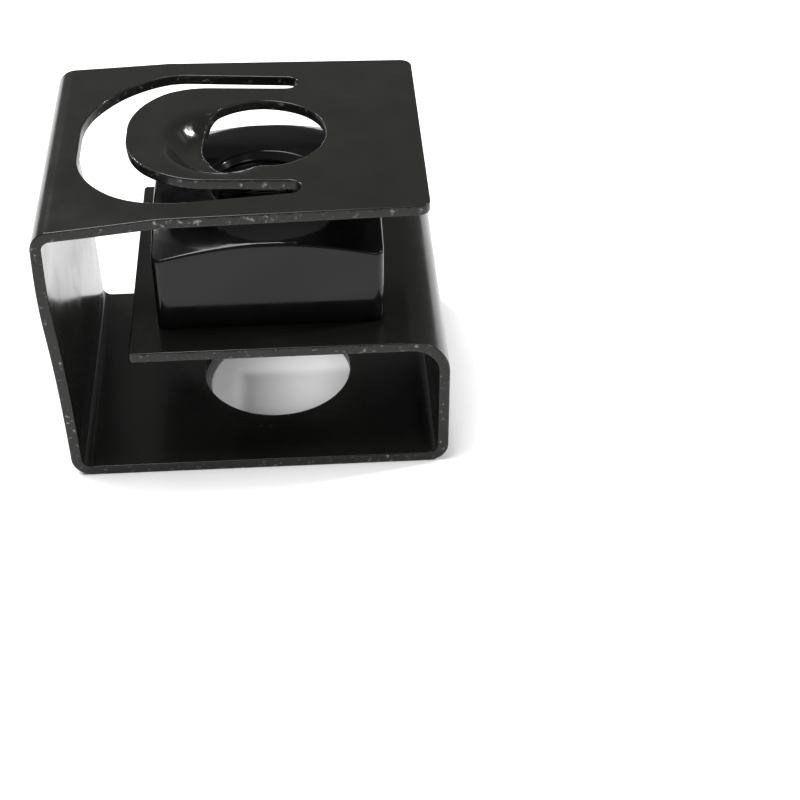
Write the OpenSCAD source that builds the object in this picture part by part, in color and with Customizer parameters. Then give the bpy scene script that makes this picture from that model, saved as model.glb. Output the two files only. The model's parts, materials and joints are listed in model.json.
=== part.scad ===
// Slide-on rack cage nut: a square nut on the shelf of a folded spring-steel cage.
// Millimetres. +X runs from the closed fold of the top leaf to its free end,
// +Y runs along the rack rail and +Z points up, the way the screw comes in.
// The origin is the centre of the footprint, on the underside of the floor.

/* [Strip] */
// Thickness of the spring-steel strip
sheet_t = 0.46; // [0.35:0.01:0.6]
// Width of the strip, along the rail
strip_w = 12.7; // [12:0.1:14]
// Inside radius of the tight folds
fold_r = 0.4; // [0.3:0.05:0.6]
// Inside radius of the soft fold between the right wall and the shelf
shelf_fold_r = 1.15; // [0.6:0.05:1.5]

/* [Cage] */
// Overall width, from the left wall to the right wall
cage_w = 16.4; // [16:0.1:19]
// Overall height, to the top of the leaf
cage_h = 13; // [12:0.1:15]
// Clear height of the lower compartment, from the floor to the shelf
lower_h = 5.64; // [5:0.02:6.5]
// Gap between the left wall and the free end of the shelf
shelf_gap = 2.64; // [2:0.02:3]
// Place of the screw's axis, right of the centre
axis_x = 0.8; // [0.5:0.05:1.1]
// Radius of the screw's clearance hole in the floor
floor_hole_r = 3.35; // [2.8:0.05:3.8]

/* [Top leaf] */
// Distance from the leaf's free end to the outside of the right wall
leaf_setback = 0.86; // [0.4:0.02:1.2]
// Narrowing of each side of the leaf towards its free end
leaf_taper = 0.42; // [0.02:0.02:0.6]
// Corner radius of the leaf's free end
leaf_corner_r = 0.5; // [0.3:0.05:0.8]
// Slope at which the leaf leaves its fold, in degrees
leaf_rise_a = 4.5; // [2:0.5:6]
// Height by which the leaf rises from its fold
leaf_rise = 0.32; // [0.2:0.02:0.5]
// Radius of the screw's clearance hole in the leaf
leaf_hole_r = 2.6; // [2.5:0.05:2.8]

/* [Tongue] */
// Half of the tongue's width
tongue_hw = 3.7; // [3.5:0.05:3.9]
// Reach of the tongue's tip, left of the screw's axis
tongue_reach = 5.65; // [5.3:0.05:5.8]
// Corner radius of the tongue's tip
tongue_tip_r = 3.3; // [2.5:0.1:3.4]
// Distance of the tongue's root, right of the screw's axis
tongue_root = 1; // [0.6:0.05:1.4]
// Upward tilt of the tongue, in degrees
tongue_tilt = 2.4; // [1:0.1:4]
// Width of the slot at the tongue's tip
slot_tip_w = 1.9; // [1.5:0.05:2]
// Width of the slot's legs beside the tongue's tip
slot_leg_w = 1.38; // [1.1:0.02:1.5]
// Width of the slot's legs at the tongue's root
slot_root_w = 0.96; // [0.7:0.02:1.1]
// Corner radius of the slot's outer edge
slot_corner_r = 4.2; // [3:0.1:4.4]

/* [Dimple] */
// Reach of the dimple's centre, left of the screw's axis
dimple_x = 1.78; // [1.5:0.02:2]
// Offset of the dimple's centre towards the front
dimple_y = 0.75; // [0:0.05:0.8]
// Radius of the dimple where it leaves the leaf
dimple_top_r = 2.4; // [2.2:0.05:2.5]
// Radius of the dimple's floor
dimple_floor_r = 1.5; // [1.2:0.05:1.8]
// Depth of the dimple
dimple_depth = 0.75; // [0.4:0.05:0.9]

/* [Nut] */
// Width of the square nut across its flats
nut_af = 9.5; // [8.5:0.1:9.8]
// Height of the nut above the shelf
nut_h = 4.1; // [3.2:0.1:4.4]
// Angle of the chamfer that cuts the nut's top corners, in degrees
nut_chamfer_a = 20; // [12:1:30]
// Diameter of the nut's flat top, as a share of its width
nut_flat_share = 0.97; // [0.85:0.01:0.98]
// Core radius of the screw thread
thread_core_r = 2.05; // [1.7:0.05:2.2]
// Depth of the countersink at each end of the thread
thread_lead = 0.4; // [0.2:0.05:0.5]
// Wall of the shank that is riveted into the shelf
shank_wall = 0.95; // [0.6:0.05:1.2]

/* [Hidden] */
$fn = 96;
cut = 1;
lap = 0.05;
wall_x = cage_w / 2;
fold_out = fold_r + sheet_t;
fold_x = wall_x - fold_out;
shelf_bottom = sheet_t + lower_h;
shelf_top = shelf_bottom + sheet_t;
shelf_fold_out = shelf_fold_r + sheet_t;
shelf_fold_x = wall_x - shelf_fold_out;
shelf_fold_z = shelf_top - shelf_fold_out;
shelf_end_x = sheet_t + shelf_gap - wall_x;
// the leaf leaves its fold at the rise angle, as far as the knee that levels it
leaf_fold_z = cage_h - leaf_rise - fold_out;
rise_l = (leaf_rise + fold_out * (1 - cos(leaf_rise_a))) / sin(leaf_rise_a);
knee_x = rise_l * cos(leaf_rise_a) - fold_out * sin(leaf_rise_a) - fold_x;
knee_half_x = knee_x + sheet_t * tan(leaf_rise_a / 2) / 2;
leaf_bottom = cage_h - sheet_t;
leaf_end_x = wall_x - leaf_setback;
leaf_end_hw = strip_w / 2 - leaf_taper;
tongue_root_x = axis_x + tongue_root;
tongue_tip_x = axis_x - tongue_reach;
slot_tip_x = tongue_tip_x - slot_tip_w;
slot_hw = tongue_hw + slot_leg_w;
slot_root_hw = tongue_hw + slot_root_w;
nut_flat_r = nut_af * nut_flat_share / 2;
nut_top = shelf_top + nut_h;
shank_r = thread_core_r + shank_wall;

// ---- the strip's edge, drawn in X and Z ----

// bend of the strip about the origin, over the given angles
module bend(inside_r, start, sweep) {
    reach = 2 * (inside_r + sheet_t);
    intersection() {
        difference() {
            circle(r = inside_r + sheet_t);
            circle(r = inside_r);
        }
        polygon([
            [0, 0],
            reach * [cos(start), sin(start)],
            reach * [cos(start + sweep / 2), sin(start + sweep / 2)],
            reach * [cos(start + sweep), sin(start + sweep)]
        ]);
    }
}

// straight run of the strip, from one corner of its edge to the other
module run(x0, z0, x1, z1) {
    translate([x0, z0])
        square([x1 - x0, z1 - z0]);
}

// floor, right wall and shelf
module lower_edge() {
    run(-fold_x, 0, fold_x, sheet_t);
    translate([fold_x, fold_out])
        bend(fold_r, -90, 90);
    run(wall_x - sheet_t, fold_out, wall_x, shelf_fold_z);
    translate([shelf_fold_x, shelf_fold_z])
        bend(shelf_fold_r, 0, 90);
    run(shelf_end_x, shelf_bottom, shelf_fold_x, shelf_top);
}

// sloping part of the leaf with its half of the fold, levelled off at the leaf's top
module rising_edge() {
    intersection() {
        translate([-fold_x, leaf_fold_z])
            rotate(leaf_rise_a) {
                bend(fold_r, 90, 45);
                run(0, fold_r, rise_l + sheet_t, fold_out);
            }
        run(-wall_x, shelf_top, wall_x, cage_h);
    }
}

// left wall and top leaf
module upper_edge() {
    translate([-fold_x, fold_out])
        bend(fold_r, 180, 90);
    run(-wall_x, fold_out, sheet_t - wall_x, leaf_fold_z);
    translate([-fold_x, leaf_fold_z])
        bend(fold_r, 180, -60);
    rising_edge();
    run(knee_half_x, leaf_bottom, leaf_end_x, cage_h);
}

module folded_strip() {
    rotate([90, 0, 0])
        linear_extrude(height = strip_w, center = true) {
            lower_edge();
            upper_edge();
        }
}

// ---- the leaf's cuts, drawn in plan ----

// plan of the leaf: it narrows towards its free end, which has round corners
module leaf_plan() {
    corner_x = leaf_end_x - leaf_corner_r;
    corner_y = leaf_end_hw - leaf_corner_r;
    polygon([
        [-wall_x, -strip_w / 2],
        [corner_x, -leaf_end_hw],
        [corner_x, leaf_end_hw],
        [-wall_x, strip_w / 2]
    ]);
    translate([knee_x, -corner_y])
        square([leaf_end_x - knee_x, 2 * corner_y]);
    for (side = [-1, 1])
        translate([corner_x, side * corner_y])
            circle(r = leaf_corner_r);
}

// plan of a tab that points left, with two round corners at its tip
module tab_plan(tip_x, tip_hw, root_x, root_hw, corner_r) {
    for (side = [-1, 1])
        translate([tip_x + corner_r, side * (tip_hw - corner_r)])
            circle(r = corner_r);
    translate([tip_x, corner_r - tip_hw])
        square([root_x - tip_x, 2 * (tip_hw - corner_r)]);
    polygon([
        [tip_x + corner_r, -tip_hw],
        [root_x, -root_hw],
        [root_x, root_hw],
        [tip_x + corner_r, tip_hw]
    ]);
}

// plan of the slot round the tongue, with the round ends of its legs
module slot_plan() {
    leg_w = slot_root_hw - tongue_hw;
    tab_plan(slot_tip_x, slot_hw, tongue_root_x, slot_root_hw, slot_corner_r);
    for (side = [-1, 1])
        translate([tongue_root_x, side * (tongue_hw + leg_w / 2)])
            circle(r = leg_w / 2);
}

// everything outside the leaf's plan, as tall as the leaf's rise
module leaf_trim() {
    translate([0, 0, nut_top])
        linear_extrude(height = cage_h - nut_top + cut)
            difference() {
                translate([sheet_t - wall_x, -strip_w])
                    square([cage_w, 2 * strip_w]);
                leaf_plan();
            }
}

module slot() {
    translate([0, 0, nut_top])
        linear_extrude(height = cage_h - nut_top + cut)
            slot_plan();
}

// the tongue, tilted up about its root, with the dimple pressed into its front
module tongue() {
    hinge_x = tongue_root_x + lap;
    translate([hinge_x, 0, leaf_bottom])
        rotate([0, tongue_tilt, 0])
            translate([-hinge_x, 0, 0])
                difference() {
                    union() {
                        linear_extrude(height = sheet_t)
                            tab_plan(
                                tongue_tip_x, tongue_hw, hinge_x, tongue_hw, tongue_tip_r
                            );
                        dimple(-dimple_depth);
                    }
                    dimple(sheet_t - dimple_depth);
                }
}

// cone of the dimple, from its floor up, on either face of the tongue
module dimple(floor_z) {
    translate([axis_x - dimple_x, -dimple_y, floor_z])
        cylinder(h = dimple_depth, r1 = dimple_floor_r, r2 = dimple_top_r);
}

module cage() {
    color([0.13, 0.13, 0.12])
        difference() {
            union() {
                difference() {
                    folded_strip();
                    leaf_trim();
                    slot();
                }
                tongue();
            }
            translate([axis_x, 0, -cut])
                cylinder(h = sheet_t + 2 * cut, r = floor_hole_r);
            translate([axis_x, 0, shelf_bottom - cut])
                cylinder(h = sheet_t + 2 * cut, r = shank_r);
            translate([axis_x, 0, nut_top])
                cylinder(h = cage_h - nut_top + cut, r = leaf_hole_r);
        }
}

module square_nut() {
    thread_l = nut_h + sheet_t;
    lead_r = thread_core_r + thread_lead;
    color([0.06, 0.06, 0.065])
        translate([axis_x, 0, shelf_bottom])
            difference() {
                union() {
                    cylinder(h = sheet_t, r = shank_r);
                    translate([0, 0, sheet_t])
                        intersection() {
                            translate([-nut_af / 2, -nut_af / 2, 0])
                                cube([nut_af, nut_af, nut_h]);
                            cylinder(
                                h = nut_h,
                                r1 = nut_flat_r + nut_h / tan(nut_chamfer_a),
                                r2 = nut_flat_r
                            );
                        }
                }
                translate([0, 0, -cut])
                    cylinder(h = thread_l + 2 * cut, r = thread_core_r);
                cylinder(h = thread_lead, r1 = lead_r, r2 = thread_core_r);
                translate([0, 0, thread_l - thread_lead])
                    cylinder(h = thread_lead, r1 = thread_core_r, r2 = lead_r);
            }
}

cage();
square_nut();
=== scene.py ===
import json
import math

import bmesh
import bpy
import numpy as np
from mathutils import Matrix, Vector, geometry, kdtree

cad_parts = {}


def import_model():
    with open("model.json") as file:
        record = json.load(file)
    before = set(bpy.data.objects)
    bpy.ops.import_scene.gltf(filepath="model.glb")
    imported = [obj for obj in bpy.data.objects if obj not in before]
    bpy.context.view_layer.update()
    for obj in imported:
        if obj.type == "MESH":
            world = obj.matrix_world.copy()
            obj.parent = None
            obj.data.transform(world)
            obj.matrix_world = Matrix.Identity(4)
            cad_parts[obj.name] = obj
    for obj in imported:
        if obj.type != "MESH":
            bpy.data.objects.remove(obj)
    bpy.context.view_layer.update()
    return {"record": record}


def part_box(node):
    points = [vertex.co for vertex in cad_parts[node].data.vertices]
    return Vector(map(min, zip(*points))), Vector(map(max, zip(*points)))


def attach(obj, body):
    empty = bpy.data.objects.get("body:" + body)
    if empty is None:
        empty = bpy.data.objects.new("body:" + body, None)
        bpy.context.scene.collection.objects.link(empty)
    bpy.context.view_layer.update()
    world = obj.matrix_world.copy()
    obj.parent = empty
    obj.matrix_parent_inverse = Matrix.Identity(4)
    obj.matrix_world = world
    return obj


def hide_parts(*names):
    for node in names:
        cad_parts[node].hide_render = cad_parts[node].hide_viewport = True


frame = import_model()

mm = 0.001


# ---- sizes, the same as the CAD's ----

sheet_t = 0.46 * mm
fold_r = 0.4 * mm
shelf_fold_r = 1.15 * mm
shelf_gap = 2.64 * mm
leaf_setback = 0.86 * mm
leaf_taper = 0.42 * mm
leaf_corner_r = 0.5 * mm
leaf_rise_a = math.radians(4.5)
leaf_rise = 0.32 * mm
leaf_hole_r = 2.6 * mm
tongue_hw = 3.7 * mm
tongue_reach = 5.65 * mm
tongue_tip_r = 3.3 * mm
tongue_root = 1.0 * mm
tongue_tilt = math.radians(2.4)
slot_tip_w = 1.9 * mm
slot_leg_w = 1.38 * mm
slot_root_w = 0.96 * mm
slot_corner_r = 4.2 * mm
dimple_x = 1.78 * mm
dimple_y = 0.75 * mm
dimple_top_r = 2.4 * mm
dimple_floor_r = 1.5 * mm
dimple_depth = 0.75 * mm
nut_chamfer_a = math.radians(20)
nut_flat_share = 0.97
shank_wall = 0.95 * mm
thread_lead = 0.4 * mm
thread_pitch = 25.4 / 32 * mm

# ---- places, from the frame ----

cage_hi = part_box("cage")[1]
nut_lo, nut_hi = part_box("square_nut")
mounts = {m["name"]: m for m in frame["record"]["mounts"]}
axis_x = mounts["nut_thread"]["pos_m"][0]
core_r = mounts["nut_thread"]["dims"]["r_mm"] * mm
floor_hole_r = mounts["floor_hole"]["dims"]["r_mm"] * mm
shank_r = core_r + shank_wall
wall_x = cage_hi.x
strip_hw = cage_hi.y
leaf_top = 13.0 * mm
shelf_bottom = nut_lo.z
shelf_top = shelf_bottom + sheet_t
fold_out = fold_r + sheet_t
fold_x = wall_x - fold_out
shelf_fold_out = shelf_fold_r + sheet_t
shelf_fold_x = wall_x - shelf_fold_out
shelf_fold_z = shelf_top - shelf_fold_out
shelf_end_x = sheet_t + shelf_gap - wall_x
leaf_fold_z = leaf_top - leaf_rise - fold_out
leaf_end_x = wall_x - leaf_setback
rise_l = (leaf_rise + fold_out * (1 - math.cos(leaf_rise_a))) / math.sin(leaf_rise_a)
tongue_root_x = axis_x + tongue_root
tongue_tip_x = axis_x - tongue_reach
slot_tip_x = tongue_tip_x - slot_tip_w
slot_hw = tongue_hw + slot_leg_w
slot_root_hw = tongue_hw + slot_root_w


# ---- node helpers ----

class Shader:
    """A material's node tree, with short calls for the nodes that the finishes share."""

    def __init__(self, name):
        self.material = bpy.data.materials.new(name)
        self.material.use_nodes = True
        self.nodes = self.material.node_tree.nodes
        self.links = self.material.node_tree.links
        self.surface = self.nodes["Principled BSDF"]
        self.place = self.nodes.new("ShaderNodeTexCoord").outputs["Object"]

    def link(self, source, target):
        self.links.new(source, target)

    def noise(self, size, detail=4.0, roughness=0.55, stretch=(1, 1, 1)):
        """Noise whose features are about size metres across."""
        mapping = self.nodes.new("ShaderNodeMapping")
        mapping.inputs["Scale"].default_value = [k / size for k in stretch]
        self.link(self.place, mapping.inputs["Vector"])
        node = self.nodes.new("ShaderNodeTexNoise")
        node.inputs["Scale"].default_value = 1.0
        node.inputs["Detail"].default_value = detail
        node.inputs["Roughness"].default_value = roughness
        self.link(mapping.outputs["Vector"], node.inputs["Vector"])
        return node.outputs["Fac"]

    def ramp(self, value, low, high, start=0.0, end=1.0):
        """Goes from start to end as value goes from low to high, and no further."""
        node = self.nodes.new("ShaderNodeMapRange")
        node.inputs["From Min"].default_value = low
        node.inputs["From Max"].default_value = high
        node.inputs["To Min"].default_value = start
        node.inputs["To Max"].default_value = end
        self.link(value, node.inputs["Value"])
        return node.outputs["Result"]

    def math(self, operation, *values):
        node = self.nodes.new("ShaderNodeMath")
        node.operation = operation
        for socket, value in zip(node.inputs, values):
            if isinstance(value, (int, float)):
                socket.default_value = value
            else:
                self.link(value, socket)
        return node.outputs["Value"]

    def mix(self, factor, a, b):
        """Colour a where factor is 0 and b where it is 1."""
        node = self.nodes.new("ShaderNodeMix")
        node.data_type = "RGBA"
        for socket, value in ((node.inputs[0], factor), (node.inputs[6], a), (node.inputs[7], b)):
            if isinstance(value, tuple):
                socket.default_value = (*value, 1.0)
            elif isinstance(value, (int, float)):
                socket.default_value = value
            else:
                self.link(value, socket)
        return node.outputs[2]

    def bump(self, height, strength, distance):
        node = self.nodes.new("ShaderNodeBump")
        node.inputs["Strength"].default_value = strength
        node.inputs["Distance"].default_value = distance
        self.link(height, node.inputs["Height"])
        return node.outputs["Normal"]


# ---- finishes ----

def cage_finish():
    """Black oil-cured spring steel: a glossy film with a fine grain, over a faintly olive black."""
    s = Shader("cage_finish")
    grain = s.noise(0.10 * mm, detail=3.0)
    cloud = s.noise(2.2 * mm, detail=5.0)
    scuff = s.ramp(s.noise(1.2 * mm, detail=8.0, roughness=0.75), 0.62, 0.74)
    deep, pale = (0.005, 0.005, 0.0042), (0.010, 0.0098, 0.008)
    s.link(s.mix(cloud, deep, pale), s.surface.inputs["Base Color"])
    s.link(s.math("ADD", s.ramp(cloud, 0.35, 0.7, start=0.15, end=0.24), s.math("MULTIPLY", scuff, 0.12)),
           s.surface.inputs["Roughness"])
    s.link(s.bump(grain, 0.12, 0.006 * mm), s.surface.inputs["Normal"])
    s.surface.inputs["Specular IOR Level"].default_value = 0.32
    return s.material


def cut_finish():
    """The sheared edges, where the film is thin and the steel shows through in places."""
    s = Shader("cut_finish")
    wear = s.ramp(s.noise(0.3 * mm, detail=6.0, roughness=0.7), 0.58, 0.70)
    film, steel = (0.009, 0.009, 0.008), (0.24, 0.235, 0.21)
    s.link(s.mix(wear, film, steel), s.surface.inputs["Base Color"])
    s.link(s.math("MULTIPLY", wear, 0.7), s.surface.inputs["Metallic"])
    s.surface.inputs["Roughness"].default_value = 0.3
    s.surface.inputs["Specular IOR Level"].default_value = 0.25
    s.link(s.bump(s.noise(0.09 * mm, stretch=(1, 1, 0.3)), 0.5, 0.015 * mm), s.surface.inputs["Normal"])
    return s.material


def nut_finish():
    """Black oxide under oil: smooth and deep black, a little uneven where the oil has dried."""
    s = Shader("nut_finish")
    cloud = s.noise(1.5 * mm, detail=4.0)
    grain = s.noise(0.16 * mm, detail=3.0)
    deep, pale = (0.003, 0.003, 0.0033), (0.006, 0.006, 0.0065)
    s.link(s.mix(cloud, deep, pale), s.surface.inputs["Base Color"])
    s.link(s.ramp(cloud, 0.35, 0.7, start=0.08, end=0.16), s.surface.inputs["Roughness"])
    s.link(s.bump(grain, 0.08, 0.006 * mm), s.surface.inputs["Normal"])
    s.surface.inputs["Specular IOR Level"].default_value = 0.22
    return s.material


# ---- the folded strip ----

class Strip:
    """The strip's middle line in X and Z, from the shelf's free end to the leaf's.

    Its outer side is on the left.
    """

    def __init__(self, start, heading):
        self.pieces = []
        self.length = 0.0
        self.end = np.array(start)
        self.heading = heading

    def run(self, length):
        self.pieces.append((self.length, length, self.end, self.heading, 0.0))
        self.end = self.end + length * self.along(self.heading)
        self.length += length

    def bend(self, inside_r, turn):
        """Clockwise bend by turn, in radians."""
        r = inside_r + sheet_t / 2
        self.pieces.append((self.length, r * turn, self.end, self.heading, r))
        centre = self.end - r * self.outward(self.heading)
        self.heading -= turn
        self.end = centre + r * self.outward(self.heading)
        self.length += r * turn

    @staticmethod
    def along(heading):
        return np.stack([np.cos(heading), np.sin(heading)], -1)

    @staticmethod
    def outward(heading):
        return np.stack([-np.sin(heading), np.cos(heading)], -1)

    def place(self, s, lift):
        """X and Z of the points at s along the strip and lift above its middle line."""
        xz = np.zeros((len(s), 2))
        for start, length, at, heading, r in self.pieces:
            here = (s >= start - joint_slack) & (s <= start + length + joint_slack)
            step = s[here] - start
            if r:
                centre = at - r * self.outward(heading)
                xz[here] = centre + (r + lift[here])[:, None] * self.outward(heading - step / r)
            else:
                flat = at + step[:, None] * self.along(heading)
                xz[here] = flat + lift[here][:, None] * self.outward(heading)
        return xz


joint_slack = 1e-9
strip = Strip((shelf_end_x, shelf_top - sheet_t / 2), 0.0)
quarter = math.pi / 2
knee_r = 4.0 * mm
knee_cut = (knee_r + sheet_t) * math.tan(leaf_rise_a / 2)
strip.run(shelf_fold_x - shelf_end_x)
strip.bend(shelf_fold_r, quarter)
strip.run(shelf_fold_z - fold_out)
strip.bend(fold_r, quarter)
floor_s = strip.length
strip.run(2 * fold_x)
strip.bend(fold_r, quarter)
strip.run(leaf_fold_z - fold_out)
strip.bend(fold_r, quarter - leaf_rise_a)
leaf_s = strip.length
leaf_start_x = strip.end[0]
strip.run(rise_l - knee_cut)
strip.bend(knee_r, leaf_rise_a)
level_s = strip.length
level_x = strip.end[0]
strip.run(leaf_end_x - level_x)


def leaf_place(points):
    """Points of the leaf's plan, X and Y, as places along and across the strip."""
    slope = (level_s - leaf_s) / (level_x - leaf_start_x)
    x = points[:, 0]
    s = np.where(x >= level_x, level_s + x - level_x, level_s + (x - level_x) * slope)
    return np.stack([s, points[:, 1]], -1)


# ---- outlines ----

fine = 0.1 * mm


def arc(centre, r, start, end):
    """Points of an arc, its ends left out, from one angle to the other in degrees."""
    n = max(3, int(abs(math.radians(end - start)) * r / fine))
    a = np.radians(np.linspace(start, end, n + 1))[1:-1]
    return np.stack([centre[0] + r * np.cos(a), centre[1] + r * np.sin(a)], -1)


def joined(*parts):
    """Corner points and arcs in one list."""
    return np.concatenate([np.atleast_2d(p) for p in parts])


def closed(*parts):
    """One closed outline from corner points and arcs, with points along its straight stretches."""
    rough = joined(*parts)
    dense = []
    for p, q in zip(rough, np.roll(rough, -1, axis=0)):
        n = max(1, int(np.linalg.norm(q - p) / fine))
        dense.append(p + (q - p) * np.arange(n)[:, None] / n)
    return np.concatenate(dense)


def circle(s, r):
    return closed(arc((s, 0), r, 0, 360), (s + r, 0))


def strip_outline():
    end_hw = strip_hw - leaf_taper
    corner = (leaf_end_x - leaf_corner_r, end_hw - leaf_corner_r)
    start_hw = strip_hw - leaf_taper * (leaf_start_x + wall_x) / (corner[0] + wall_x)
    leaf = joined(
        (leaf_start_x, -start_hw),
        (corner[0], -end_hw),
        arc((corner[0], -corner[1]), leaf_corner_r, -90, 0),
        (leaf_end_x, -corner[1]),
        (leaf_end_x, corner[1]),
        arc(corner, leaf_corner_r, 0, 90),
        (corner[0], end_hw),
        (leaf_start_x, start_hw),
    )
    nip = 0.12 * mm
    return closed(
        (nip, -strip_hw),
        leaf_place(leaf),
        (nip, strip_hw),
        (0, strip_hw - nip),
        (0, nip - strip_hw),
    )


def slot_outline():
    outer = (slot_tip_x + slot_corner_r, slot_hw - slot_corner_r)
    inner = (tongue_tip_x + tongue_tip_r, tongue_hw - tongue_tip_r)
    leg_r = slot_root_w / 2
    leg = (tongue_root_x, tongue_hw + leg_r)
    plan = closed(
        (leg[0], slot_root_hw),
        (outer[0], slot_hw),
        arc(outer, slot_corner_r, 90, 180),
        (slot_tip_x, outer[1]),
        (slot_tip_x, -outer[1]),
        arc((outer[0], -outer[1]), slot_corner_r, 180, 270),
        (outer[0], -slot_hw),
        (leg[0], -slot_root_hw),
        arc((leg[0], -leg[1]), leg_r, -90, 90),
        (leg[0], -tongue_hw),
        (inner[0], -tongue_hw),
        arc((inner[0], -inner[1]), tongue_tip_r, 270, 180),
        (tongue_tip_x, -inner[1]),
        (tongue_tip_x, inner[1]),
        arc(inner, tongue_tip_r, 180, 90),
        (inner[0], tongue_hw),
        (leg[0], tongue_hw),
        arc(leg, leg_r, -90, 90),
    )
    return leaf_place(plan)


def leaf_hole_outline():
    turn = np.radians(np.arange(0, 360, 2))
    plan = np.stack([axis_x + leaf_hole_r * np.cos(turn), leaf_hole_r * np.sin(turn)], -1)
    return leaf_place(plan)


def inset(loop, depth, solid_inside):
    """The outline moved by depth into the steel."""
    along = np.roll(loop, -1, axis=0) - np.roll(loop, 1, axis=0)
    along /= np.linalg.norm(along, axis=1)[:, None]
    left = np.stack([-along[:, 1], along[:, 0]], -1)
    x, y = loop[:, 0], loop[:, 1]
    area = np.sum(x * np.roll(y, -1) - y * np.roll(x, -1))
    return loop + left * depth * np.sign(area) * (1 if solid_inside else -1)


def inside(points, loops):
    """Which points lie in the steel: an odd number of outline edges to the right of each."""
    odd = np.zeros(len(points), bool)
    for loop in loops:
        for p, q in zip(loop, np.roll(loop, -1, axis=0)):
            if p[1] == q[1]:
                continue
            across = (points[:, 1] < p[1]) != (points[:, 1] < q[1])
            reach = p[0] + (points[:, 1] - p[1]) * (q[0] - p[0]) / (q[1] - p[1])
            odd ^= across & (points[:, 0] < reach)
    return odd


# ---- the cage ----

edge_r = 0.05 * mm
edge_turns = np.radians([0, 30, 60, 90])
guard = edge_r + 0.04 * mm

# the mesh of the flat blank: its columns and rows, and how far they keep from the outlines
bend_columns = 14
run_step = 0.22 * mm
row_count = 56
edge_clear = 0.06 * mm
weld_mm = 1e-6

# the rough sheared edges
cut_rows = 4
shear_depth = 0.008 * mm
shear_size = 0.35 * mm
shear_seed = 10

# a ripple's sine waves, and what they usually add up to at a crest
wave_count = 10
usual_crest = 4

# the tongue's reach past its outline, its soft root, and its dimple's soft and torn rims
tongue_slack = 0.05 * mm
root_soft = 0.25 * mm
dimple_soft = 0.15 * mm
torn_rim = 0.4 * mm
torn_depth = 0.05 * mm
torn_size = 0.55 * mm
torn_seed = 4

# the sprung cage: its left wall leans and bellies out, and its leaf rises and twists
foot_in, head_out, belly_out = 0.08 * mm, 0.20 * mm, 0.12 * mm
belly_h, belly_spread = 0.71, 0.2
wall_from, wall_to = 5.6 * mm, 7.6 * mm
leaf_h = 0.9
twist_from, twist_run = 2.9 * mm, 5.3 * mm
leaf_up, leaf_twist = 0.02 * mm, 0.085 * mm


def smooth(value, low, high):
    t = np.clip((value - low) / (high - low), 0, 1)
    return t * t * (3 - 2 * t)


def ripple(points, size, seed):
    """Smooth noise, mostly between -1 and 1, made of sine waves about size long."""
    rng = np.random.default_rng(seed)
    total = np.zeros(len(points))
    for _ in range(wave_count):
        wave = rng.normal(size=3)
        wave *= 2 * math.pi / size / np.linalg.norm(wave) * rng.uniform(0.6, 1.6)
        total += np.sin(points @ wave + rng.uniform(0, 2 * math.pi))
    return total / usual_crest


def press_leaf(p):
    """Tilts the tongue and presses its dimple."""
    x, y = p[:, 0], p[:, 1]
    high = p[:, 2] > (shelf_top + leaf_top) / 2
    on_tongue = high & (x < tongue_root_x) & (x > tongue_tip_x - tongue_slack)
    on_tongue &= np.abs(y) < tongue_hw + tongue_slack
    reach = np.where(on_tongue, tongue_root_x - x, 0)
    lift = math.tan(tongue_tilt) * (np.sqrt(reach**2 + root_soft**2) - root_soft)
    r = np.hypot(x - axis_x + dimple_x, y + dimple_y)
    depth = dimple_depth * smooth(r, dimple_top_r + dimple_soft, dimple_floor_r - dimple_soft)
    torn = smooth(r, dimple_top_r, dimple_floor_r + torn_rim)
    depth += torn_depth * torn * ripple(p, torn_size, torn_seed)
    p[:, 2] += np.where(on_tongue, lift, 0) - np.where(high, depth, 0)


def spring_set(p):
    """The set of the sprung cage: its left wall bulges and its leaf is a little twisted."""
    x, y, z = p[:, 0].copy(), p[:, 1], p[:, 2].copy()
    h = z / leaf_top
    belly = np.exp(-(((h - belly_h) / belly_spread) ** 2))
    bow = foot_in - head_out * smooth(h, 0, 1) - belly_out * belly
    at_wall = smooth(-x, wall_from, wall_to)
    p[:, 0] += bow * at_wall
    on_leaf = (h > leaf_h) * np.clip((-x - twist_from) / twist_run, 0, 1)
    p[:, 2] += (leaf_up + leaf_twist * y / strip_hw) * on_leaf


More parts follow.
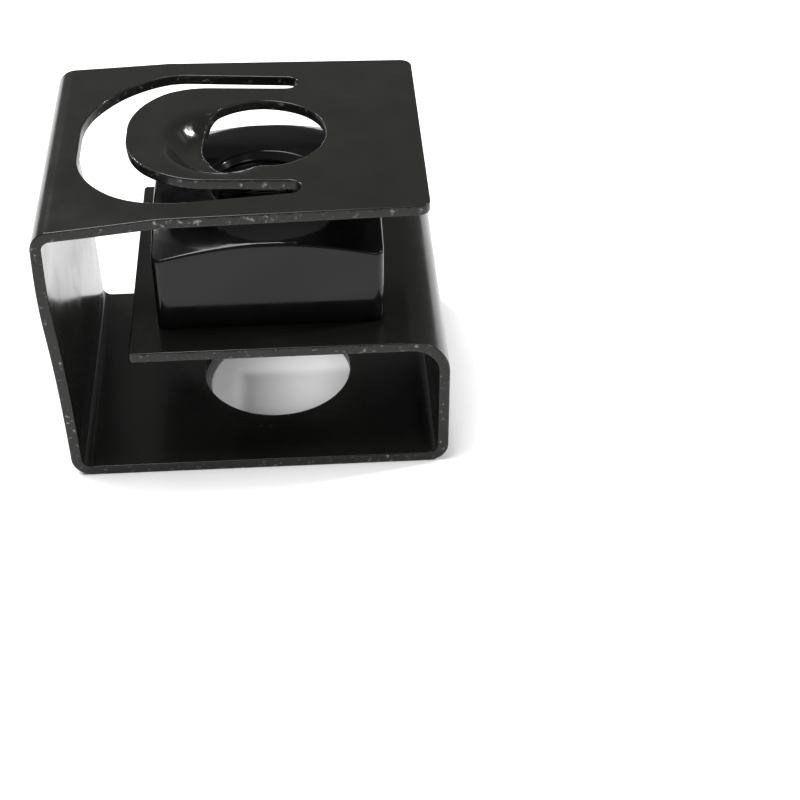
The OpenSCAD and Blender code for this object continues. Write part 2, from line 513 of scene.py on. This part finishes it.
def cage():
    loops = [strip_outline(), slot_outline(), leaf_hole_outline()]
    loops.append(circle(axis_x - shelf_end_x, shank_r))
    loops.append(circle(floor_s + fold_x - axis_x, floor_hole_r))

    depths = [*(edge_r * (1 - np.cos(edge_turns))), guard]
    flat, steps, links = [], [], []
    for n, loop in enumerate(loops):
        for level, depth in enumerate(depths):
            first = sum(len(f) for f in flat)
            flat.append(inset(loop, depth, n == 0) if level else loop)
            steps.append(np.full(len(loop), level))
            ring = np.arange(first, first + len(loop))
            links.extend(zip(ring, np.roll(ring, -1)))
    bends = [np.linspace(s, s + l, bend_columns) for s, l, _, _, r in strip.pieces if r]
    runs = [np.linspace(s, s + l, int(l / run_step)) for s, l, _, _, r in strip.pieces if not r]
    columns = np.unique(np.concatenate(bends + runs).round(7))
    rows = np.linspace(-strip_hw, strip_hw, row_count)
    grid = np.stack(np.meshgrid(columns, rows), -1).reshape(-1, 2)
    border = np.concatenate(flat)
    near = kdtree.KDTree(len(border))
    for i, p in enumerate(border):
        near.insert((p[0], p[1], 0), i)
    near.balance()
    grid = grid[inside(grid, loops)]
    grid = grid[[near.find((p[0], p[1], 0))[2] > edge_clear for p in grid]]
    flat.append(grid)
    steps.append(np.full(len(grid), len(depths)))
    flat, steps = np.concatenate(flat), np.concatenate(steps)

    # the triangulation works in millimetres, and its own points lead back to these
    found = geometry.delaunay_2d_cdt([Vector(p / mm) for p in flat], links, [], 0, weld_mm)
    points = np.array([(v.x, v.y) for v in found[0]]) * mm
    level = np.array([steps[o].min() if o else len(depths) for o in found[3]])
    index = {o: i for i, group in enumerate(found[3]) for o in group}
    faces = np.array([f for f in found[2] if len(f) == 3])
    faces = faces[inside(points[faces].mean(axis=1), loops)]

    drop = np.zeros(len(points))
    for n, turn in enumerate(edge_turns):
        drop[level == n] = edge_r * (1 - math.sin(turn))
    sides = []
    for side in (1, -1):
        xz = strip.place(points[:, 0], side * (sheet_t / 2 - drop))
        sides.append(np.stack([xz[:, 0], points[:, 1], xz[:, 1]], -1))
    count = len(points)
    vertices = np.concatenate(sides)
    outer, inner = faces, faces[:, ::-1] + count

    # the sheared walls join the two sides
    walls, extra = [], []
    first = 0
    for n, loop in enumerate(loops):
        ring = np.array([index[first + i] for i in range(len(loop))])
        first += len(loop) * len(depths)
        rings = [ring]
        for row in range(1, cut_rows):
            part = vertices[ring] + (vertices[ring + count] - vertices[ring]) * row / cut_rows
            shear = [ripple(part, shear_size, shear_seed + row + k) for k in range(3)]
            part = part + shear_depth * np.stack(shear, -1)
            rings.append(np.arange(len(ring)) + 2 * count + sum(len(e) for e in extra))
            extra.append(part)
        rings.append(ring + count)
        for upper, lower in zip(rings, rings[1:]):
            walls.append(np.stack([upper, np.roll(upper, -1), np.roll(lower, -1), lower], -1))
    vertices = np.concatenate([vertices, *extra])
    walls = np.concatenate(walls)

    press_leaf(vertices)
    spring_set(vertices)

    mesh = bpy.data.meshes.new("cage_sheet")
    every = [*outer.tolist(), *inner.tolist(), *walls.tolist()]
    mesh.from_pydata(vertices.tolist(), [], every)
    obj = bpy.data.objects.new("cage_sheet", mesh)
    bpy.context.collection.objects.link(obj)
    mesh.materials.append(cage_finish())
    mesh.materials.append(cut_finish())
    edge = np.zeros(len(mesh.polygons), np.int32)
    edge[len(outer) + len(inner):] = 1
    mesh.polygons.foreach_set("material_index", edge)
    tidy_normals(mesh)
    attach(obj, "root")
    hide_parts("cage")


def tidy_normals(mesh):
    bm = bmesh.new()
    bm.from_mesh(mesh)
    bmesh.ops.recalc_face_normals(bm, faces=bm.faces)
    for face in bm.faces:
        face.smooth = True
    bm.to_mesh(mesh)
    bm.free()


# ---- the nut ----

turns = 240
angles = np.linspace(0, 2 * math.pi, turns, endpoint=False)

# the thread's height, rows and flanks, the nut's roundings, and the rows of its sides and top
ridge = 0.36 * mm
thread_rows = 110
flank_slope, crest_flat = 2.4, 0.25
nut_round_r = 0.2 * mm
nut_corner_r = 0.4 * mm
shank_round = 0.02 * mm
foot_round = 0.06 * mm
side_rows, roof_rows = 10, 14


def square_reach(half, corner_r):
    """Distance from the axis to a rounded square, at each angle."""
    c, s = np.abs(np.cos(angles)), np.abs(np.sin(angles))
    flat = half / np.maximum(c, s)
    middle = half - corner_r
    along = middle * (c + s)
    round_part = along + np.sqrt(np.maximum(along**2 - 2 * middle**2 + corner_r**2, 0))
    at_corner = np.minimum(c, s) * flat > middle
    return np.where(at_corner, round_part, flat)


def ring(r, z):
    """A ring about the screw's axis. r and z are numbers, or one value for each angle."""
    r, z = np.broadcast_to(r, turns), np.broadcast_to(z, turns)
    return np.stack([axis_x + r * np.cos(angles), r * np.sin(angles), z], -1)


def thread_rings(low, high):
    """The threaded bore, with its countersinks, from the top down."""
    rings = []
    for z in np.linspace(high, low, thread_rows):
        phase = ((z / thread_pitch) - angles / (2 * math.pi)) % 1
        valley = np.clip((0.5 - np.abs(phase - 0.5)) * flank_slope - crest_flat, 0, 1)
        cone = core_r + thread_lead - min(high - z, z - low)
        rings.append(ring(np.maximum(core_r + ridge * valley, cone), z))
    return rings


def square_nut():
    half = nut_hi.y
    top, bottom = nut_hi.z, nut_lo.z
    flat_r = half * nut_flat_share
    reach = square_reach(half, nut_corner_r)

    def roof(r):
        return top - np.maximum(r - flat_r, 0) * math.tan(nut_chamfer_a)

    eave = roof(reach - nut_round_r) - nut_round_r
    rings = [
        ring(shank_r - shank_round, bottom),
        ring(shank_r, bottom + shank_round),
        ring(shank_r, bottom + sheet_t),
        ring(reach - foot_round, bottom + sheet_t),
        ring(reach, bottom + sheet_t + foot_round),
    ]
    for share in np.linspace(1 / side_rows, 1, side_rows):
        low = bottom + sheet_t + foot_round
        rings.append(ring(reach, low + (eave - low) * share))
    for turn in np.radians([15, 30, 45, 60, 75]):
        r = reach - nut_round_r * (1 - math.cos(turn))
        rings.append(ring(r, np.minimum(eave + nut_round_r * math.sin(turn), roof(r))))
    inner_r = core_r + thread_lead
    for share in np.linspace(0, 1, roof_rows):
        r = (reach - nut_round_r) * (1 - share) + inner_r * share
        rings.append(ring(r, roof(r)))
    rings.extend(thread_rings(bottom, top)[1:])
    count = len(rings)
    vertices = np.concatenate(rings)
    faces = []
    for n in range(count):
        m = (n + 1) % count
        for i in range(turns):
            j = (i + 1) % turns
            faces.append((n * turns + i, n * turns + j, m * turns + j, m * turns + i))
    mesh = bpy.data.meshes.new("threaded_nut")
    mesh.from_pydata(vertices.tolist(), [], faces)
    mesh.materials.append(nut_finish())
    tidy_normals(mesh)
    obj = bpy.data.objects.new("threaded_nut", mesh)
    bpy.context.collection.objects.link(obj)
    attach(obj, "root")
    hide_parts("square_nut")


cage()
square_nut()


# ---- stage ----

floor_hw = 2.0
floor_white = 0.92
floor_rough = 0.7
world_strength = 0.26
sensor, lens = 36.0, 74.2
camera_at = (2.646 * mm, -59.912 * mm, 48.517 * mm)
camera_down, camera_right = 39.97, 3.67
nearest, farthest = 0.001, 10.0
lamps = {
    # name: place in metres, size in metres, power in watts
    "overhead": ((-0.2, 0.05, 0.75), 0.5, 9.5),
    "front": ((0.5, -0.5, 0.6), 0.4, 1.2),
    "lamp_right": ((0.5, 0.1, 0.45), 0.04, 2.0),
    "lamp_back": ((-0.35, 0.5, 0.5), 0.04, 2.0),
}


def floor():
    mesh = bpy.data.meshes.new("floor")
    bm = bmesh.new()
    corners = [bm.verts.new((x * floor_hw, y * floor_hw, 0))
               for x, y in ((-1, -1), (1, -1), (1, 1), (-1, 1))]
    bm.faces.new(corners)
    bm.to_mesh(mesh)
    bm.free()
    obj = bpy.data.objects.new("floor", mesh)
    bpy.context.collection.objects.link(obj)
    s = Shader("floor_finish")
    s.surface.inputs["Base Color"].default_value = (floor_white, floor_white, floor_white, 1)
    s.surface.inputs["Roughness"].default_value = floor_rough
    mesh.materials.append(s.material)


def area_light(name, place, target, size, power):
    data = bpy.data.lights.new(name, "AREA")
    data.shape = "DISK"
    data.size = size
    data.energy = power
    light = bpy.data.objects.new(name, data)
    light.location = place
    light.rotation_mode = "QUATERNION"
    light.rotation_quaternion = (Vector(target) - Vector(place)).to_track_quat("-Z", "Y")
    bpy.context.collection.objects.link(light)


def camera():
    """Camera at the photograph's place: 77 mm from the frame's origin, 40 degrees down."""
    data = bpy.data.cameras.new("camera")
    data.sensor_width = sensor
    data.lens = lens
    data.clip_start = nearest
    data.clip_end = farthest
    cam = bpy.data.objects.new("camera", data)
    cam.location = camera_at
    cam.rotation_euler = (math.radians(90 - camera_down), 0, math.radians(-camera_right))
    bpy.context.collection.objects.link(cam)
    bpy.context.scene.camera = cam


def world():
    w = bpy.data.worlds.new("studio")
    bpy.context.scene.world = w
    w.use_nodes = True
    w.node_tree.nodes["Background"].inputs["Color"].default_value = (1, 1, 1, 1)
    w.node_tree.nodes["Background"].inputs["Strength"].default_value = world_strength


def lights():
    """Two soft boxes overhead keep the table pale, and two narrow lamps draw the highlights."""
    target = (0, 0, leaf_top / 2)
    for name, (place, size, power) in lamps.items():
        area_light(name, place, target, size, power)


floor()
camera()
world()
lights()
bpy.context.scene.view_settings.view_transform = "Standard"
